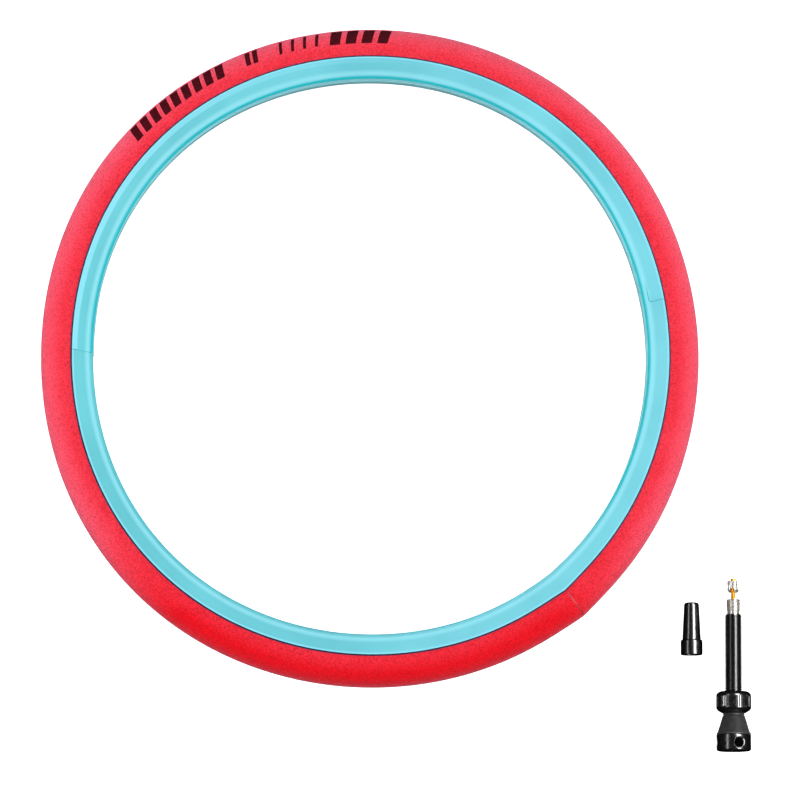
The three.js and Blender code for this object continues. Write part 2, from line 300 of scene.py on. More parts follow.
def made(name, bm, place, materials, body, nodes=(), sharp_angle=35.0):
    """Puts a finished mesh in its place as a piece that rides on its body."""
    bm.transform(place)
    limit = math.radians(sharp_angle)
    for face in bm.faces:
        face.smooth = True
    for edge in bm.edges:
        edge.smooth = len(edge.link_faces) == 2 and edge.calc_face_angle() < limit
    mesh = bpy.data.meshes.new(name)
    bm.to_mesh(mesh)
    bm.free()
    for material in materials:
        mesh.materials.append(material)
    piece = bpy.data.objects.new(name, mesh)
    bpy.context.scene.collection.objects.link(piece)
    weighting = piece.modifiers.new("weighted_normals", "WEIGHTED_NORMAL")
    weighting.keep_sharp = True
    piece.visible_glossy = body != "ring"
    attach(piece, body)
    if nodes:
        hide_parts(*nodes)
    return piece


def lying(node):
    """Stands a turned piece on a CAD node's low end, its axis laid along +Y."""
    low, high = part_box(node)
    start = Vector(((low.x + high.x) / 2, low.y, (low.z + high.z) / 2))
    return Matrix.Translation(start) @ Matrix.Rotation(math.radians(-90), 4, "X") @ Matrix.Scale(MM, 4)


foam_low, foam_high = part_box("foam_ring")
ring_centre = (foam_low + foam_high) / 2
ring_place = Matrix.Translation(ring_centre) @ Matrix.Scale(MM, 4)
valve_place = lying("valve_stem")
cap_place = lying("valve_cap")


# ---------------------------------------------------------------------------------------------
# Materials


class Finish:
    """A material under construction: its nodes, its links and its shader."""

    def __init__(self, name):
        self.material = bpy.data.materials.new(name)
        self.material.use_nodes = True
        self.nodes = self.material.node_tree.nodes
        self.links = self.material.node_tree.links
        self.shader = self.nodes["Principled BSDF"]
        self.coordinates = self.nodes.new("ShaderNodeTexCoord")

    def set(self, **values):
        for name, value in values.items():
            self.shader.inputs[name.replace("_", " ")].default_value = value

    def link(self, source, target):
        self.links.new(source, target)

    def axes(self, source="Object"):
        """A point's X, Y and Z, in the object's own space or in its map."""
        node = self.nodes.new("ShaderNodeSeparateXYZ")
        self.link(self.coordinates.outputs[source], node.inputs["Vector"])
        return node.outputs

    def noise(self, scale, detail=4.0, roughness=0.55):
        node = self.nodes.new("ShaderNodeTexNoise")
        node.inputs["Scale"].default_value = scale
        node.inputs["Detail"].default_value = detail
        node.inputs["Roughness"].default_value = roughness
        self.link(self.coordinates.outputs["Object"], node.inputs["Vector"])
        return node.outputs["Fac"]

    def cells(self, scale):
        node = self.nodes.new("ShaderNodeTexVoronoi")
        node.inputs["Scale"].default_value = scale
        self.link(self.coordinates.outputs["Object"], node.inputs["Vector"])
        return node.outputs["Distance"]

    def ramp(self, source, stops):
        node = self.nodes.new("ShaderNodeValToRGB")
        elements = node.color_ramp.elements
        while len(elements) < len(stops):
            elements.new(1.0)
        for element, (position, colour) in zip(elements, stops):
            element.position = position
            element.color = (*colour, 1)
        self.link(source, node.inputs["Fac"])
        return node.outputs["Color"]

    def span(self, source, low, high, out_low=0.0, out_high=1.0):
        node = self.nodes.new("ShaderNodeMapRange")
        limits = {"From Min": low, "From Max": high, "To Min": out_low, "To Max": out_high}
        for name, value in limits.items():
            node.inputs[name].default_value = value
        self.link(source, node.inputs["Value"])
        return node.outputs["Result"]

    def band(self, source, rise, fall, strength=1.0):
        """Climbs from 0 over one stretch of the source, and falls back to 0 over another."""
        climb = self.span(source, *rise)
        drop = self.span(source, *fall, strength, 0.0)
        return self.math("MULTIPLY", climb, drop)

    def math(self, operation, first, second=0):
        node = self.nodes.new("ShaderNodeMath")
        node.operation = operation
        for socket, value in zip(node.inputs, (first, second)):
            if isinstance(value, (int, float)):
                socket.default_value = value
            else:
                self.link(value, socket)
        return node.outputs["Value"]

    def mix(self, factor, first, second, blend="MIX"):
        node = self.nodes.new("ShaderNodeMix")
        node.data_type = "RGBA"
        node.blend_type = blend
        sockets = (node.inputs["Factor"], node.inputs[6], node.inputs[7])
        for socket, value in zip(sockets, (factor, first, second)):
            if isinstance(value, (int, float)):
                socket.default_value = value
            elif isinstance(value, tuple):
                socket.default_value = (*value, 1)
            else:
                self.link(value, socket)
        return node.outputs[2]

    def colour(self, source):
        self.link(source, self.shader.inputs["Base Color"])

    def rough(self, source):
        self.link(source, self.shader.inputs["Roughness"])

    def bump(self, source, strength, distance):
        node = self.nodes.new("ShaderNodeBump")
        node.inputs["Strength"].default_value = strength
        node.inputs["Distance"].default_value = distance
        self.link(source, node.inputs["Height"])
        self.link(node.outputs["Normal"], self.shader.inputs["Normal"])


def red_foam():
    """Closed-cell foam: a fine grain, mottled a little, with a pink painted highlight round its outer side
    that fades out towards -Y, where the outer side is painted a deeper red as painted shade. The places are
    in metres from the ring's middle."""
    finish = Finish("red_foam")
    finish.set(Roughness=0.9, Specular_IOR_Level=0.04, Sheen_Weight=0.3, Sheen_Roughness=0.4)
    finish.set(Sheen_Tint=(1.0, 0.7, 0.9, 1))
    grain = finish.noise(1700, 3.0, 0.7)
    mottle = finish.noise(130, 3.0)
    tinted = finish.ramp(mottle, [(0.35, (0.98, 0.036, 0.064)), (0.7, (1.0, 0.048, 0.080))])
    place = finish.axes()
    x_offset = finish.math("SUBTRACT", place["X"], ring_centre.x)
    y_offset = finish.math("SUBTRACT", place["Y"], ring_centre.y)
    squares = finish.math("ADD", finish.math("POWER", x_offset, 2), finish.math("POWER", y_offset, 2))
    reach = finish.math("SQRT", squares)
    # Painted highlight: pink round the outer side, fading out towards -Y; there the outer side is painted a
    # deeper red as painted shade.
    painted_highlight_side = finish.span(y_offset, -0.088, -0.055)
    painted_shade_side = finish.span(painted_highlight_side, 0, 1, 1, 0)
    painted_shade_share = finish.math("MULTIPLY", painted_shade_side, finish.span(reach, 0.1025, 0.108, 0.2, 0.92))
    painted_shade_red = finish.mix(painted_shade_share, tinted, (0.92, 0.001, 0.009))
    painted_highlight_share = finish.math("MULTIPLY", finish.span(reach, 0.1045, 0.1115, 0.0, 0.6), painted_highlight_side)
    painted_highlight_red = finish.mix(painted_highlight_share, painted_shade_red, (1.0, 0.16, 0.25))
    speckle = finish.ramp(grain, [(0.36, (0.68, 0.50, 0.54)), (0.60, (1.0, 1.0, 1.0))])
    finish.colour(finish.mix(1.0, painted_highlight_red, speckle, "MULTIPLY"))
    height = finish.math("ADD", grain, finish.math("MULTIPLY", finish.cells(1900), 0.5))
    finish.bump(height, 0.8, 0.00025)
    return finish.material


def glue_film():
    """The dark red glue that closes the foam's butt joint."""
    finish = Finish("foam_glue")
    finish.set(Roughness=0.5)
    finish.colour(finish.ramp(finish.noise(700), [(0.3, (0.32, 0.006, 0.02)), (0.7, (0.42, 0.010, 0.03))]))
    return finish.material


def print_ink():
    """Dark maroon ink that lets the foam's grain through."""
    finish = Finish("print_ink")
    finish.set(Roughness=0.9, Specular_IOR_Level=0.05)
    grain = finish.noise(1150, 3.0, 0.75)
    finish.colour(finish.ramp(grain, [(0.3, (0.025, 0.0008, 0.003)), (0.75, (0.10, 0.002, 0.008))]))
    finish.bump(grain, 0.4, 0.0001)
    return finish.material


def cyan_liner(name, shade, lip_highlight_strength, line_at_left):
    """Satin moulded strip with painted light and shade: a seat painted pale as painted light, a dark teal
    line of painted shade along the seat's upper corner, pale painted highlights on the corner folds and lip
    edges, darker painted shade towards -X and a pale painted highlight band by the lips there. The map's
    second axis is the height over the section's middle, where 1 stands for 10 mm. The places are in metres."""
    finish = Finish(name)
    finish.set(Roughness=0.45, Specular_IOR_Level=0.08)
    height = finish.axes("UV")["Y"]
    side = finish.math("ABSOLUTE", height)
    # This scale paints one copy of the colour lighter than the other, as painted light and shade.
    low = tuple(value * shade * 0.96 for value in (0.158, 0.575, 0.672))
    high = tuple(value * shade * 1.04 for value in (0.184, 0.605, 0.700))
    plain = finish.ramp(finish.noise(26, 3.0), [(0.35, low), (0.65, high)])
    place = finish.axes()
    # Painted shade: the colour is darker towards -X.
    leftness = finish.span(place["X"], -0.095, 0.02, 1.0, 0.0)
    body = finish.mix(leftness, plain, (0.66, 0.90, 0.88), "MULTIPLY")
    # Painted light: the seat is painted pale.
    seat = finish.span(side, 0.53, 0.56, 0.75, 0.0)
    paled = finish.mix(seat, body, (0.42, 0.88, 0.96))
    # Painted shade: a dark teal line along the seat's upper corner, strongest on the ring's upper side.
    upper_part = finish.span(place["Y"], -0.055, -0.035)
    right_part = finish.span(place["X"], -0.02, 0.0, line_at_left, 1.0)
    line_strength = finish.math("MULTIPLY", finish.math("MULTIPLY", upper_part, right_part), 0.95)
    line = finish.math("MULTIPLY", finish.band(height, (0.545, 0.57), (0.635, 0.66)), line_strength)
    lined = finish.mix(line, paled, (0.012, 0.50, 0.57))
    # Painted highlights: pale bands on the corner fold and along the lip edges, and a wider one by the lips
    # towards -X.
    fold_highlight = finish.band(side, (0.655, 0.69), (0.72, 0.78), 0.5)
    fold_highlighted = finish.mix(fold_highlight, lined, (0.34, 0.80, 0.90))
    lip_edge_highlight = finish.span(side, 0.955, 0.98, 0.0, 0.6)
    lip_band_highlight = finish.math("MULTIPLY", finish.span(side, 0.89, 0.91, 0.0, lip_highlight_strength), leftness)
    lip = finish.math("MAXIMUM", lip_edge_highlight, lip_band_highlight)
    finish.colour(finish.mix(lip, fold_highlighted, (0.30, 0.78, 0.93)))
    finish.rough(finish.span(finish.noise(900, 2.0), 0.3, 0.7, 0.4, 0.52))
    finish.bump(finish.noise(420, 3.0), 0.08, 0.0001)
    return finish.material


def joint_shade():
    """Painted shadow: a dark teal for the thin line along the liner's joints, where shade falls under the
    upper liner's ends.
    """
    finish = Finish("liner_joint_painted_shadow")
    finish.set(Roughness=0.6, Specular_IOR_Level=0.2)
    finish.colour(finish.ramp(finish.noise(300), [(0.3, (0.02, 0.34, 0.40)), (0.7, (0.04, 0.42, 0.48))]))
    return finish.material


def painted_shadow_finish():
    """Painted shadow: a dark navy for the thin line in the gap between the foam and the liner, and under the
    upper liner's left end.
    """
    finish = Finish("navy_painted_shadow")
    finish.set(Roughness=0.6, Specular_IOR_Level=0.2)
    finish.colour(finish.ramp(finish.noise(300), [(0.3, (0.004, 0.012, 0.05)), (0.7, (0.012, 0.03, 0.09))]))
    return finish.material


def black_anodising():
    """Black anodised aluminium: deep black under a clear, glossy skin with a faint grain."""
    finish = Finish("black_anodised")
    finish.set(Specular_IOR_Level=1.0)
    smudge = finish.noise(300, 4.0)
    finish.colour(finish.ramp(smudge, [(0.3, (0.0035, 0.0035, 0.0038)), (0.7, (0.0065, 0.0065, 0.007))]))
    finish.rough(finish.span(finish.noise(1200, 3.0), 0.3, 0.7, 0.17, 0.25))
    finish.bump(finish.noise(2500, 2.0), 0.05, 0.00005)
    return finish.material


def bare_edge():
    """Aluminium laid bare where a cutter went through the anodising."""
    finish = Finish("bare_edge")
    finish.set(Metallic=1.0)
    finish.colour(finish.ramp(finish.noise(900), [(0.3, (0.62, 0.61, 0.60)), (0.7, (0.85, 0.84, 0.82))]))
    finish.rough(finish.span(finish.noise(1500), 0.3, 0.7, 0.22, 0.34))
    return finish.material


def black_rubber():
    """Moulded rubber with a dry, powdery bloom."""
    finish = Finish("black_rubber")
    finish.set(Specular_IOR_Level=0.45, Sheen_Weight=0.08, Sheen_Roughness=0.5)
    dust = finish.noise(650, 5.0)
    finish.colour(finish.ramp(dust, [(0.35, (0.010, 0.010, 0.011)), (0.75, (0.026, 0.026, 0.028))]))
    finish.rough(finish.span(dust, 0.3, 0.7, 0.5, 0.62))
    finish.bump(finish.noise(2200, 3.0), 0.15, 0.00006)
    return finish.material


def nickel_plate():
    """Warm grey plating, dulled a little in patches."""
    finish = Finish("nickel_plate")
    finish.set(Metallic=0.7)
    finish.colour(finish.ramp(finish.noise(500), [(0.3, (0.58, 0.55, 0.50)), (0.7, (0.76, 0.73, 0.69))]))
    finish.rough(finish.span(finish.noise(1400, 3.0), 0.3, 0.7, 0.16, 0.26))
    finish.bump(finish.noise(2600, 2.0), 0.06, 0.00004)
    return finish.material


def bare_brass():
    """Brass as it came from the lathe."""
    finish = Finish("bare_brass")
    finish.set(Metallic=0.5)
    finish.colour(finish.ramp(finish.noise(700), [(0.3, (0.62, 0.27, 0.004)), (0.7, (0.85, 0.44, 0.012))]))
    finish.rough(finish.span(finish.noise(1500, 3.0), 0.3, 0.7, 0.18, 0.3))
    return finish.material


def seal_plastic():
    """The off-white plastic of the core's gasket."""
    finish = Finish("seal_plastic")
    finish.set(Roughness=0.45)
    finish.colour(finish.ramp(finish.noise(500), [(0.3, (0.72, 0.71, 0.67)), (0.7, (0.80, 0.79, 0.76))]))
    return finish.material


def cap_plastic():
    """Glossy black moulded plastic with a slight ripple in its polish."""
    finish = Finish("black_plastic")
    finish.set(Specular_IOR_Level=1.0)
    blacks = [(0.3, (0.003, 0.003, 0.0034)), (0.7, (0.006, 0.006, 0.0066))]
    finish.colour(finish.ramp(finish.noise(350), blacks))
    finish.rough(finish.span(finish.noise(1200, 3.0), 0.3, 0.7, 0.18, 0.26))
    finish.bump(finish.noise(260, 2.0), 0.04, 0.00008)
    return finish.material


foam_red = red_foam()
glue_red = glue_film()
ink = print_ink()
# Lit and shaded copies of one colour: the lower liner's is painted a little darker and the upper's a little
# lighter, as painted shade and light. The upper also gets the painted lip highlight band, and the painted
# shade line on its left side too.
cyan = cyan_liner("cyan_liner", 0.98, 0.0, 0.0)
cyan_upper_painted_lighter = cyan_liner("cyan_liner_upper", 1.02, 0.6, 1.0)
joint_painted_shadow = joint_shade()
painted_shadow_navy = painted_shadow_finish()
black_anodised = black_anodising()
bare = bare_edge()
rubber = black_rubber()
nickel = nickel_plate()
brass = bare_brass()
white_seal = seal_plastic()
cap_black = cap_plastic()


# ---------------------------------------------------------------------------------------------
# Ring


def channel(inset, corner_steps=7):
    """Half of the channel's outline, moved into the material by the inset: lip, flank, corner and seat."""
    lip_half_width = LIP_HALF_WIDTH - inset / FLANK_COSINE
    seat_radius = HOLE_RADIUS + inset
    corner = Vector((seat_radius, lip_half_width - (SPLIT_RADIUS - seat_radius) * FLANK_SLOPE))
    rounding = max(SEAT_CORNER - inset, LEAST_CORNER)
    on_flank = corner + Vector((1, FLANK_SLOPE)).normalized() * rounding
    on_seat = corner - Vector((0, rounding))
    points = [(SPLIT_RADIUS, lip_half_width)]
    for step in range(corner_steps + 1):
        share = step / corner_steps
        along_flank = on_flank.lerp(corner, share)
        along_seat = corner.lerp(on_seat, share)
        points.append(tuple(along_flank.lerp(along_seat, share)))
    return points


def mirrored(half):
    """The same outline below the section's middle, run the other way."""
    return [(radius, -half_width) for radius, half_width in reversed(half)]


def dome_point(turn):
    """A point of the foam's dome, from its crown at 0 degrees to its shoulder at 90."""
    power = 2 / DOME_SQUARENESS
    along = max(math.cos(math.radians(turn)), 0.0) ** power
    out = math.sin(math.radians(turn)) ** power
    return (DOME_BASE + (CROWN_RADIUS - DOME_BASE) * along, DOME_HALF_WIDTH * out)


def settled_rise(degrees, reach=SPLIT_RADIUS):
    """How far the ring stands out of round at an angle, in millimetres."""
    from_seam = (degrees - SEAM_ANGLE + 180) % 360 - 180
    from_x_axis = abs((degrees + 180) % 360 - 180)
    lobe = LOBE_HEIGHT * math.cos(math.radians(LOBE_COUNT * (from_x_axis - LOBE_ANGLE)))
    stretch = STRETCH * math.sin(math.radians(degrees)) ** 2
    outward = min(max((reach - HOLE_RADIUS) / (SPLIT_RADIUS - HOLE_RADIUS), CUSP_LEAST_SHARE), 1)
    cusp = CUSP_HEIGHT * math.exp(-math.hypot(from_seam, CUSP_ROUNDING) / CUSP_SPREAD)
    return lobe + stretch + cusp * outward


def settle(bm):
    """Moves a round mesh out of round, as the ring really lies."""
    for vert in bm.verts:
        reach = math.hypot(vert.co.x, vert.co.y)
        rise = settled_rise(math.degrees(math.atan2(vert.co.y, vert.co.x)), reach)
        vert.co.x *= (reach + rise) / reach
        vert.co.y *= (reach + rise) / reach


def strip(outline, start, end, step_angle):
    """A closed section swept about Z from one angle to another, its ends capped, mapped along and across.
    The first end maps to a hair over 0, so that rounding doesn't carry it to a full turn."""
    bm = rotated(wire(outline, closed=True), start, "Z")
    first_end = bm.edges[:]
    swept = bmesh.ops.spin(
        bm, geom=bm.verts[:] + bm.edges[:], cent=(0, 0, 0), axis=(0, 0, 1), angle=math.radians(end - start),
        steps=math.ceil((end - start) / step_angle),
    )
    last_end = [item for item in swept["geom_last"] if isinstance(item, bmesh.types.BMEdge)]
    bmesh.ops.contextual_create(bm, geom=first_end)
    bmesh.ops.contextual_create(bm, geom=last_end)
    bmesh.ops.recalc_face_normals(bm, faces=bm.faces)
    layer = bm.loops.layers.uv.new("along_and_across")
    hair = 0.01
    for face in bm.faces:
        for loop in face.loops:
            place = loop.vert.co
            along = (math.degrees(math.atan2(place.y, place.x)) - start + hair) % 360
            loop[layer].uv = (along / 360, place.z / MAP_HEIGHT)
    return bm


def foam_outline():
    """The foam's section: dome, rounded shoulders, then the foot that lies in the channel."""
    dome = [dome_point(turn) for turn in range(0, 91, 4)] + [dome_point(90)]
    shoulder = []
    for turn in range(18, 91, 18):
        angle = math.radians(turn)
        radius = DOME_BASE - SHOULDER * math.sin(angle)
        shoulder.append((radius, DOME_HALF_WIDTH - SHOULDER * (1 - math.cos(angle))))
    foot = channel(LINER_WALL + LAID_GAP, 4)
    half = dome + shoulder + foot
    return half + mirrored(half[1:])


def drawn_in(outline, distance):
    """The outline with each point moved toward the middle of the foam's section."""
    middle = Vector(((SPLIT_RADIUS + CROWN_RADIUS) / 2, 0))
    moved = []
    for radius, height in outline:
        toward = (middle - Vector((radius, height))).normalized()
        moved.append((radius + toward.x * distance, height + toward.y * distance))
    return moved


def foam_strip():
    """The foam, bent round until its two ends almost meet at the seam."""
    half_gap = math.degrees((GLUE_THICKNESS / 2 + GLUE_CLEARANCE) / CROWN_RADIUS)
    bm = strip(foam_outline(), SEAM_ANGLE + half_gap - 360, SEAM_ANGLE - half_gap, 1.0)
    settle(bm)
    piece = made("foam_strip", bm, ring_place, [foam_red], "ring", ["foam_ring"])


def seam_film():
    """The film of glue in the seam, its edge a little below the foam's skin."""
    half = math.degrees(GLUE_THICKNESS / 2 / CROWN_RADIUS)
    bm = strip(drawn_in(foam_outline(), FILM_INSET), SEAM_ANGLE - half, SEAM_ANGLE + half, half)
    settle(bm)
    made("seam_film", bm, ring_place, [glue_red], "ring", ["foam_seam_glue"])


def painted_gap_lines():
    """Painted shadow: a thin dark strip in the gap between the foam's shoulder and each lip of the liner,
    where shade falls.
    """
    line_foot = SPLIT_RADIUS + 0.02
    line_top = SPLIT_RADIUS + 0.5
    end_gap = 0.2
    for name, side in (("painted_gap_line_upper", 1), ("painted_gap_line_lower", -1)):
        section = [
            (line_foot, side * 8.7),
            (line_top, side * 8.7),
            (line_top, side * 9.2),
            (line_foot, side * 9.6),
        ]
        bm = strip(section, SEAM_ANGLE + end_gap - 360, SEAM_ANGLE - end_gap, 1.0)
        settle(bm)
        made(name, bm, ring_place, [painted_shadow_navy], "ring")


def printed_bar(bm, start, width, slant, crown_turn, shoulder_turn):
    """One slanted bar on the dome, a hair proud of the foam."""
    grid = bmesh.ops.create_grid(bm, x_segments=3, y_segments=10, size=0.5)
    for vert in grid["verts"]:
        across = vert.co.x + 0.5
        up = vert.co.y + 0.5
        turn = shoulder_turn + (crown_turn - shoulder_turn) * up
        degrees = start + width * across + slant * (up - 0.5)
        radius, height = dome_point(turn)
        radius += INK_LIFT * math.cos(math.radians(turn))
        height += INK_LIFT
        reach = radius + settled_rise(degrees)
        angle = math.radians(degrees)
        vert.co = (reach * math.cos(angle), reach * math.sin(angle), height)


def print_marks():
    """Rows of plain slanted bars: bold, a short block, fine, then bold again. A row gives its first bar's
    angle, the step to the next bar, the bars, their width and slant, and the turns where they end."""
    rows = (
        (117.2, 2.3, 9, 1.5, -0.75, 24, 68),
        (110.6, 1.4, 2, 0.9, -0.6, 25, 67),
        (99.4, 2.2, 4, 0.55, -0.6, 26, 66),
        (86.6, 2.9, 4, 1.9, -0.75, 24, 68),
    )
    bm = bmesh.new()
    for first, step, bars, width, slant, crown_turn, shoulder_turn in rows:
        for bar in range(bars):
            printed_bar(bm, first + step * bar, width, slant, crown_turn, shoulder_turn)
    bmesh.ops.recalc_face_normals(bm, faces=bm.faces)
    for face in bm.faces:
        if face.normal.z < 0:
            face.normal_flip()
    made("print_marks", bm, ring_place, [ink], "ring")


def liner_outline():
    """The strip's section, with a shallow groove in the upper half of its seat."""
    outside = channel(0)
    groove = [
        (HOLE_RADIUS, 4.3),
        (HOLE_RADIUS + GROOVE_DEPTH, 4.0),
        (HOLE_RADIUS + GROOVE_DEPTH, 1.6),
        (HOLE_RADIUS, 1.3),
    ]
    inside = list(reversed(channel(LINER_WALL)))
    return inside + outside + groove + mirrored(inside + outside)


def wall_depth(reach, half_width):
    """How deep a point lies in the liner's wall: 0 on its outside, 1 on its inside."""
    to_flank = (LIP_HALF_WIDTH - (SPLIT_RADIUS - reach) * FLANK_SLOPE - half_width) * FLANK_COSINE
    return min(max(min(to_flank, reach - HOLE_RADIUS) / LINER_WALL, 0), 1)


def ease(share):
    """Goes from 0 to 1 with the share, starting and ending level."""
    share = min(max(share, 0), 1)
    return share * share * (3 - 2 * share)


def raise_end(bm, joint, direction, full, ramp, outer_raise, inner_raise):
    """Lifts a liner's wall away from the foam near a joint: fully for some degrees, then less and less.
    The seat lifts towards the ring's middle and the flanks sideways. Round the corner one way turns into the
    other. A joint's angles run into the liner, and points far behind the joint belong to its other end."""
    corner_start = 3.6
    corner_width = 2.6
    furthest_back = -20
    for vert in bm.verts:
        reach = math.hypot(vert.co.x, vert.co.y)
        degrees = math.degrees(math.atan2(vert.co.y, vert.co.x))
        from_joint = ((degrees - joint + 180) % 360 - 180) * direction
        share = ease(1 - (from_joint - full) / ramp) if from_joint > furthest_back else 0
        if share == 0:
            continue
        half_width = abs(vert.co.z)
        lift = (outer_raise + (inner_raise - outer_raise) * wall_depth(reach, half_width)) * share
        on_flank = ease((half_width - corner_start) / corner_width)
        reach_after = reach - lift * (1 - on_flank) * SEAT_LIFT_SHARE
        vert.co.z += math.copysign(lift * on_flank / FLANK_COSINE, vert.co.z)
        vert.co.x *= reach_after / reach
        vert.co.y *= reach_after / reach


def flank_point(reach, degrees, lift):
    """A point over the upper flank's outside, lifted off it."""
    half_width = LIP_HALF_WIDTH - (SPLIT_RADIUS - reach) * FLANK_SLOPE
    height = half_width + lift * FLANK_COSINE
    away = reach - lift * FLANK_SLOPE * FLANK_COSINE + settled_rise(degrees, reach)
    angle = math.radians(degrees)
    return Vector((away * math.cos(angle), away * math.sin(angle), height))


def ribbon(bm, first_edge, second_edge, material_index):
    """Faces between two rows of points, turned to face up."""
    first = [bm.verts.new(point) for point in first_edge]
    second = [bm.verts.new(point) for point in second_edge]
    for index in range(len(first) - 1):
        face = bm.faces.new((first[index], first[index + 1], second[index + 1], second[index]))
        face.normal_update()
        if face.normal.z < 0:
            face.normal_flip()
        face.material_index = material_index


def joint_angle(reach):
    """The upper liner's left end is cut a little aslant."""
    return LEFT_JOINT + END_SLANT * (SPLIT_RADIUS - reach) / (SPLIT_RADIUS - HOLE_RADIUS)


def joint_lines():
    """Painted shadow: a thin dark ribbon under the upper liner's left end, navy then teal, and a dark teal
    line along the edge of the flap at the right end.
    """
    bm = bmesh.new()
    flank_end = HOLE_RADIUS + 1.0
    steps = 8
    reaches = [SPLIT_RADIUS + (flank_end - SPLIT_RADIUS) * step / steps for step in range(steps + 1)]
    navy_rows = 2
    for rows, index, width in ((reaches[:navy_rows + 1], 0, 0.30), (reaches[navy_rows:], 1, 0.22)):
        top = [flank_point(reach, joint_angle(reach) - 0.03, 0.56) for reach in rows]
        foot = [flank_point(reach, joint_angle(reach) + width, 0.05) for reach in rows]
        ribbon(bm, top, foot, index)
    # Painted shadow along the flap's edge.
    cut = RIGHT_JOINT + 0.1
    corner_end = RIGHT_JOINT + 0.64
    flap_end = RIGHT_JOINT + FLAP_ANGLE
    outline = [(SPLIT_RADIUS - 0.1 - 0.5 * step, cut) for step in range(8)]
    for turn in range(0, 91, 15):
        angle = math.radians(turn)
        along = math.degrees(FLAP_CORNER * (1 - math.cos(angle)) / FLAP_RADIUS)
        outline.append((FLAP_RADIUS + FLAP_CORNER * (1 - math.sin(angle)), cut + along))
    for step in range(1, 9):
        outline.append((FLAP_RADIUS, corner_end + (flap_end - corner_end) * step / 8))
    half_width = 0.13
    tapering = 8
    inner = []
    outer = []
    for index, (reach, degrees) in enumerate(outline):
        before = outline[max(index - 1, 0)]
        after = outline[min(index + 1, len(outline) - 1)]
        direction = flank_point(*after, 0) - flank_point(*before, 0)
        across = Vector((0, 0, 1)).cross(direction).normalized()
        aside = across * half_width * min(1, (len(outline) - index) / tapering)
        middle = flank_point(reach, degrees, 0.27)
        inner.append(middle + aside)
        outer.append(middle - aside)
    ribbon(bm, inner, outer, 1)
    made("liner_joint_lines", bm, ring_place, [painted_shadow_navy, joint_painted_shadow], "ring")


def upper_liner():
    """Its ends lap over the lower liner's. The left one is cut a little aslant."""
    bm = strip(liner_outline(), RIGHT_JOINT, LEFT_JOINT, 0.5)
    raise_end(bm, RIGHT_JOINT, 1, LAP_ANGLE, LAP_RAMP_ANGLE, RIGHT_LIFT_OUTSIDE, RIGHT_LIFT_INSIDE)
    raise_end(bm, LEFT_JOINT, -1, LAP_ANGLE, LAP_RAMP_ANGLE, LEFT_LIFT, LEFT_LIFT)
    for vert in bm.verts:
        degrees = math.degrees(math.atan2(vert.co.y, vert.co.x))
        if degrees > LEFT_JOINT - 0.1:
            shift = joint_angle(math.hypot(vert.co.x, vert.co.y)) - LEFT_JOINT
            vert.co.rotate(Matrix.Rotation(math.radians(shift), 3, "Z"))
    settle(bm)
    made("upper_liner", bm, ring_place, [cyan_upper_painted_lighter], "ring", ["liner_upper"])


def lower_liner():
    """Its ends are tucked in a little where the upper liner laps over them."""
    start = LEFT_JOINT - LOWER_REACH_ANGLE
    end = 360 + RIGHT_JOINT + LOWER_REACH_ANGLE
    bm = strip(liner_outline(), start, end, 0.5)
    raise_end(bm, LEFT_JOINT, 1, TUCK_ANGLE, TUCK_RAMP_ANGLE, -LEFT_TUCK, -LEFT_TUCK)
    raise_end(bm, RIGHT_JOINT, -1, TUCK_ANGLE, TUCK_RAMP_ANGLE, -RIGHT_TUCK, -RIGHT_TUCK)
    settle(bm)
    made("lower_liner", bm, ring_place, [cyan], "ring", ["liner_lower"])


foam_strip()
seam_film()
painted_gap_lines()
print_marks()
upper_liner()
lower_liner()
joint_lines()


# ---------------------------------------------------------------------------------------------
# Valve


def port_cutter(azimuth):
    """A drill with a countersink that meets the foot's side, pointing at the viewer's side."""
    bm = turned([
        (0, 0),
        (PORT_RADIUS, 0),
        (PORT_RADIUS, FOOT_RADIUS - RIM_DEPTH),
        (PORT_RADIUS + RIM_WIDTH, FOOT_RADIUS - RIM_DEPTH + RIM_WIDTH),
        (PORT_RADIUS + RIM_WIDTH, FOOT_RADIUS + 1),
        (0, FOOT_RADIUS + 1),
    ], 48)
    rotated(bm, 90, "X")
    bmesh.ops.translate(bm, verts=bm.verts, vec=(0, 0, FOOT_TOP / 2))
    return rotated(bm, azimuth, "Z")


def stem():
    """The foot and the threaded tube in one, bored through, with four ports in the foot's side."""
    foot = soften(turned([
        (0, 0),
        (FOOT_RADIUS, 0),
        (FOOT_RADIUS, FOOT_TOP),
        (0, FOOT_TOP),
    ], 128), FOOT_EDGE, 5, highest=1)
    soften(foot, 0.15, 2, lowest=FOOT_TOP - 0.5)
    chamfer_start = STEM_TOP - STEM_CHAMFER
    threaded = taper_end(
        thread(STEM_ROOT_RADIUS, STEM_RADIUS - CREST_GAP, THREAD_PITCH, 3.0, STEM_TOP),
        lambda height: STEM_RADIUS - max(height - chamfer_start, 0),
    )
    bm = joined(foot, threaded)
    bore = turned([
        (0, -1),
        (AIR_RADIUS, -1),
        (AIR_RADIUS, CHAMBER_BOTTOM),
        (CHAMBER_RADIUS, CHAMBER_BOTTOM),
        (CHAMBER_RADIUS, STEM_TOP + 1),
        (0, STEM_TOP + 1),
    ], 48)
    bm = carved(bm, bore)
    for quarter in range(4):
        bm = carved(bm, port_cutter(PORT_TURN + 90 * quarter))
    for face in bm.faces:
        face.material_index = 1 if on_countersink(face) else 0
    made("stem", bm, valve_place, [black_anodised, bare], "valve", ["valve_stem"], 30)


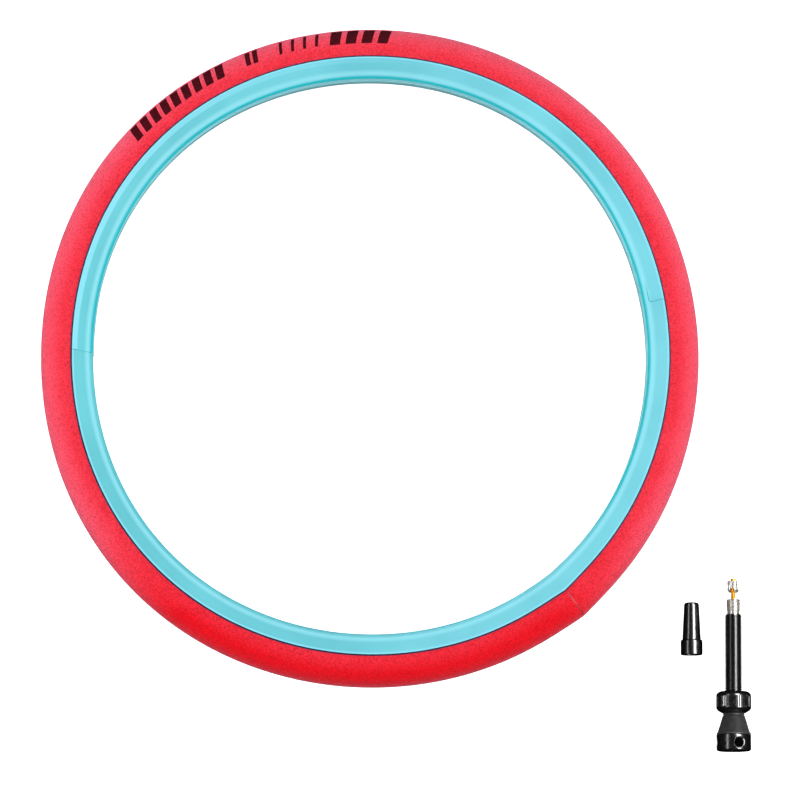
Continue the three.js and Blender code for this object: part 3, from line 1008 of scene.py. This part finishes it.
def on_countersink(face):
    """Whether a face of the stem belongs to a port's countersunk rim: it leans at half a right angle."""
    least_lean = 0.4
    middle = face.calc_center_median()
    outward = math.hypot(middle.x, middle.y)
    if middle.z > FOOT_TOP - 0.1 or middle.z < 0.1 or outward < FOOT_RADIUS - RIM_DEPTH - 0.4:
        return False
    for quarter in range(4):
        azimuth = math.radians(PORT_TURN + 90 * quarter)
        port = Vector((math.sin(azimuth), -math.cos(azimuth), 0))
        along = middle.dot(port)
        aside = middle - port * along - Vector((0, 0, FOOT_TOP / 2))
        by_the_port = along > 0 and aside.length < PORT_RADIUS + RIM_WIDTH + 0.1
        faces_in = -face.normal.dot(aside.normalized()) > least_lean
        if by_the_port and faces_in and face.normal.dot(port) > least_lean:
            return True
    return False


def cone():
    """The rubber seal: a cone ringed by fine turning lines, with a thin flared lip."""
    rings = 22
    lip_top = CONE_BOTTOM + 0.5
    cone_radius = FOOT_RADIUS - 0.35
    points = [
        (STEM_HOLE_RADIUS, CONE_BOTTOM),
        (FOOT_RADIUS, CONE_BOTTOM),
        (FOOT_RADIUS + 0.02, lip_top - 0.1),
        (FOOT_RADIUS - 0.32, lip_top + 0.05),
    ]
    for ring in range(rings):
        share = (ring + 0.5) / rings
        radius = cone_radius + (CONE_TOP_RADIUS - cone_radius) * share
        height = lip_top + (CONE_TOP - lip_top - 0.1) * share
        points.append((radius - TURNING_LINE_DEPTH, height - 0.05))
        points.append((radius + TURNING_LINE_DEPTH, height + 0.05))
    points.append((CONE_TOP_RADIUS - 0.1, CONE_TOP))
    points.append((STEM_HOLE_RADIUS, CONE_TOP))
    bm = turned(points)
    made("cone", bm, valve_place, [rubber], "valve", ["cone_seal"], 70)


def o_ring():
    """The rubber ring under the nut, squeezed a little along the stem's sides."""
    sides = 20
    middle_height = (CONE_TOP + NUT_BOTTOM) / 2
    points = []
    for side in range(sides):
        angle = FULL_TURN * side / sides
        points.append((3.35 + 0.3 * math.cos(angle), middle_height + 0.4 * math.sin(angle)))
    bm = turned(points)
    made("o_ring", bm, valve_place, [rubber], "nut_ring", ["nut_o_ring"], 60)


def ridged(bm, count, depth, lowest, highest, least_radius, flat_share=0.55):
    """Cuts straight grooves along a turned piece between two heights."""
    for vert in bm.verts:
        reach = math.hypot(vert.co.x, vert.co.y)
        if not lowest < vert.co.z < highest or reach < least_radius:
            continue
        phase = (math.atan2(vert.co.y, vert.co.x) / FULL_TURN * count) % 1
        if phase > flat_share:
            vert.co.x *= (reach - depth) / reach
            vert.co.y *= (reach - depth) / reach


def nut():
    """The lock nut: a band of fine ridges between rounded ends, cut by two flats."""
    bm = turned([
        (STEM_HOLE_RADIUS, NUT_BOTTOM),
        (3.9, NUT_BOTTOM),
        (4.2, NUT_BOTTOM + 0.1),
        (NUT_RADIUS - 0.75, NUT_BOTTOM + 0.75),
        (NUT_RADIUS - 0.25, NUT_BOTTOM + 1.3),
        (NUT_RADIUS, BAND_BOTTOM),
        (NUT_RADIUS, BAND_BOTTOM + 0.18),
        (NUT_RADIUS, BAND_TOP - 0.18),
        (NUT_RADIUS, BAND_TOP),
        (NUT_RADIUS - 0.12, BAND_TOP + 0.45),
        (NUT_RADIUS - 0.5, NUT_TOP - 0.6),
        (NUT_RADIUS - 1.0, NUT_TOP - 0.2),
        (4.5, NUT_TOP),
        (3.4, NUT_TOP),
        (STEM_HOLE_RADIUS, NUT_TOP - 0.35),
    ], RIDGES * 4)
    ridged(bm, RIDGES, RIDGE_DEPTH, BAND_BOTTOM + 0.1, BAND_TOP - 0.1, NUT_RADIUS - 0.05)
    slab = rotated(box(NUT_FLATS, 14, NUT_BOTTOM - 1, NUT_TOP + 1), NUT_TURN, "Z")
    bm = combined(bm, slab, "INTERSECT")
    made("nut", bm, valve_place, [black_anodised], "nut", ["lock_nut"], 28)


def core():
    """The valve core's body: sealing tube, shank, neck, then the threaded head with two flats."""
    head_floor = HEAD_BOTTOM + 0.2
    inner = turned([
        (CORE_BORE_RADIUS, CORE_BOTTOM),
        (1.55, CORE_BOTTOM),
        (1.55, CORE_BOTTOM + 5),
        (SHANK_RADIUS, CORE_BOTTOM + 5),
        (SHANK_RADIUS, NECK_BOTTOM),
        (2.05, NECK_BOTTOM + 0.02),
        (2.05, HEAD_BOTTOM - 0.3),
        (1.75, HEAD_BOTTOM - 0.2),
        (1.75, head_floor),
        (CORE_BORE_RADIUS, head_floor),
    ], 64)
    head = thread(2.1, HEAD_RADIUS - CREST_GAP, HEAD_PITCH, HEAD_BOTTOM, HEAD_TOP, 48, 0.2, 0.25)
    taper_end(head, lambda height: min(HEAD_RADIUS, 2.3 + max(HEAD_TOP - height, 0) * 0.8))
    head = carved(head, rod(CORE_BORE_RADIUS, HEAD_BOTTOM - 1, HEAD_TOP + 1))
    head = combined(head, box(HEAD_FLATS, 8, HEAD_BOTTOM - 1, HEAD_TOP + 1), "INTERSECT")
    bm = joined(inner, head)
    made("core", bm, valve_place, [nickel], "core", ["core_body"], 30)


def pin():
    """The brass pin, finely threaded above the core, its end peened over the nut."""
    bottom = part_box("core_pin")[0].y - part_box("valve_stem")[0].y
    plain = rod(0.72, bottom / MM, HEAD_TOP - 1, 32)
    threaded = thread(0.6, PIN_RADIUS - CREST_GAP, 0.45, HEAD_TOP - 1.5, CORE_NUT_TOP + 0.1, 24)
    tip = soften(turned([
        (0, CORE_NUT_TOP + 0.06),
        (0.86, CORE_NUT_TOP + 0.06),
        (0.93, CORE_NUT_TOP + 0.35),
        (0.82, PIN_TIP_TOP - 0.12),
        (0.5, PIN_TIP_TOP),
        (0.18, PIN_TIP_TOP - 0.2),
        (0, PIN_TIP_TOP - 0.22),
    ], 40), 0.06, 2)
    bm = joined(joined(plain, threaded), tip)
    made("pin", bm, valve_place, [brass], "pin", ["core_pin"], 35)


def core_nut():
    """The small fluted nut on the pin, with a slot across its lower end."""
    bm = turned([
        (CORE_NUT_BORE_RADIUS, CORE_NUT_BOTTOM),
        (1.5, CORE_NUT_BOTTOM),
        (CORE_NUT_RADIUS - 0.08, CORE_NUT_BOTTOM + 0.85),
        (CORE_NUT_RADIUS, CORE_NUT_BOTTOM + 1.0),
        (CORE_NUT_RADIUS, CORE_NUT_BOTTOM + 1.05),
        (CORE_NUT_RADIUS, CORE_NUT_TOP - 0.2),
        (CORE_NUT_RADIUS - 0.12, CORE_NUT_TOP),
        (CORE_NUT_BORE_RADIUS, CORE_NUT_TOP),
    ])
    flute_bottom = CORE_NUT_BOTTOM + 0.9
    ridged(bm, CORE_NUT_FLUTES, 0.16, flute_bottom, CORE_NUT_TOP - 0.1, CORE_NUT_RADIUS - 0.1, 0.62)
    slot = rotated(box(1.5, 8, CORE_NUT_BOTTOM - 0.5, CORE_NUT_BOTTOM + 1.35), SLOT_TURN, "Z")
    bm = carved(bm, slot)
    made("core_nut_fluted", bm, valve_place, [nickel], "pin_nut", ["core_nut"], 28)


def cap():
    """The valve cap: a blind stepped bore inside, a collar and a long taper outside."""
    bore = [(0, 15.6), (2.2, 15.6), (2.2, 9.0), (2.7, 9.0), (2.7, 0.35)]
    mouth = [(2.95, 0), (3.45, 0)]
    collar = [(3.7, 0.25), (3.7, 4.75), (3.55, 5.05), (3.2, 5.12), (3.1, 5.3)]
    taper = [(3.08, 5.6), (2.52, 16.9)]
    end = [(2.42, 17.35), (2.15, 17.65), (1.7, CAP_LENGTH), (0, CAP_LENGTH)]
    bm = soften(turned(bore + mouth + collar + taper + end, 128), 0.08, 2)
    made("cap", bm, cap_place, [cap_black], "cap", ["valve_cap"], 32)


stem()
cone()
o_ring()
nut()
core()
pin()
core_nut()
cap()

# The hidden seals and the pin's collar keep their CAD shapes
hidden = {"core_gasket": white_seal, "core_pin_seal": rubber, "core_pin_collar": brass}
for node_name, material in hidden.items():
    for slot_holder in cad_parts[node_name].material_slots:
        slot_holder.material = material


# ---------------------------------------------------------------------------------------------
# Stage, light and camera


def pale_floor():
    """A glowing white floor that lights nothing and isn't mirrored."""
    bm = bmesh.new()
    bmesh.ops.create_grid(bm, x_segments=1, y_segments=1, size=6)
    mesh = bpy.data.meshes.new("floor")
    bm.to_mesh(mesh)
    bm.free()
    finish = Finish("pale_floor")
    finish.set(Base_Color=(0.9, 0.9, 0.9, 1), Roughness=0.9)
    finish.set(Emission_Color=(1, 1, 1, 1), Emission_Strength=1.0)
    mesh.materials.append(finish.material)
    floor = bpy.data.objects.new("floor", mesh)
    floor.visible_diffuse = False
    floor.visible_glossy = False
    bpy.context.scene.collection.objects.link(floor)


def soft_light(name, place, aim, width, height, power, gloss=True, diffuse=True):
    """A soft panel that faces its aim, with its width level."""
    data = bpy.data.lights.new(name, "AREA")
    data.shape = "RECTANGLE"
    data.size = width
    data.size_y = height
    data.energy = power
    light = bpy.data.objects.new(name, data)
    light.location = place
    light.rotation_euler = (Vector(place) - Vector(aim)).to_track_quat("Z", "Y").to_euler()
    light.visible_glossy = gloss
    light.visible_diffuse = diffuse
    light.visible_camera = False
    bpy.context.scene.collection.objects.link(light)


def studio_surround():
    """A pale surround that lights nothing and isn't mirrored, so that black parts stay black."""
    world = bpy.data.worlds.new("studio")
    world.use_nodes = True
    bpy.context.scene.world = world
    background = world.node_tree.nodes["Background"]
    background.inputs["Color"].default_value = (1, 1, 1, 1)
    background.inputs["Strength"].default_value = 1.0
    world.cycles_visibility.diffuse = False
    world.cycles_visibility.glossy = False


def camera():
    """Nearly overhead, leaning a little towards -Y and -X, with +Y up the frame."""
    view_width = 0.2704
    distance = 3.0
    sensor_width = 36
    lean_down = math.radians(6.2)
    lean_left = math.radians(1.8)
    target = ring_centre + Vector((10.1, -14.4, 0)) * MM
    away = Vector((-math.tan(lean_left), -math.tan(lean_down), 1)).normalized()
    data = bpy.data.cameras.new("camera")
    data.sensor_width = sensor_width
    data.lens = sensor_width * distance / view_width
    data.clip_end = 20
    view = bpy.data.objects.new("camera", data)
    view.location = target + away * distance
    right = Vector((0, 1, 0)).cross(away).normalized()
    up = away.cross(right)
    turn = Matrix((right, up, away)).transposed()
    view.rotation_euler = turn.to_euler()
    bpy.context.scene.collection.objects.link(view)
    bpy.context.scene.camera = view


pale_floor()
studio_surround()

# Panels that light the ring evenly and show in no reflection
table_middle = Vector((0, -0.04, 0))
soft_light("overhead", table_middle + Vector((0, 0, 0.95)), table_middle, 0.9, 0.9, 9.7, gloss=False)
soft_light("left_panel", (-0.85, 0.1, 0.14), ring_centre, 1.3, 0.3, 6.0, gloss=False)
soft_light("right_panel", (0.85, 0.1, 0.14), ring_centre, 1.3, 0.3, 6.0, gloss=False)
soft_light("near_panel", (0, -0.9, 0.2), ring_centre, 1.3, 0.3, 2.5, gloss=False)
soft_light("far_panel", (0, 0.9, 0.16), ring_centre, 1.3, 0.3, 2.5, gloss=False)

# Strips that only show as long reflections in the valve and cap
stem_low, stem_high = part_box("valve_stem")
valve_middle = Vector(((stem_low.x + stem_high.x) / 2, -0.09, 0))
right_strip_place = valve_middle + Vector((0.62, 0.12, 1.0))
left_strip_place = valve_middle + Vector((-1.05, 0.12, 1.0))
soft_light("right_strip", right_strip_place, valve_middle, 2.4, 0.5, 75, diffuse=False)
soft_light("left_strip", left_strip_place, valve_middle, 2.4, 0.3, 9, diffuse=False)

camera()
bpy.context.scene.view_settings.view_transform = "Standard"
bpy.context.scene.view_settings.look = "None"
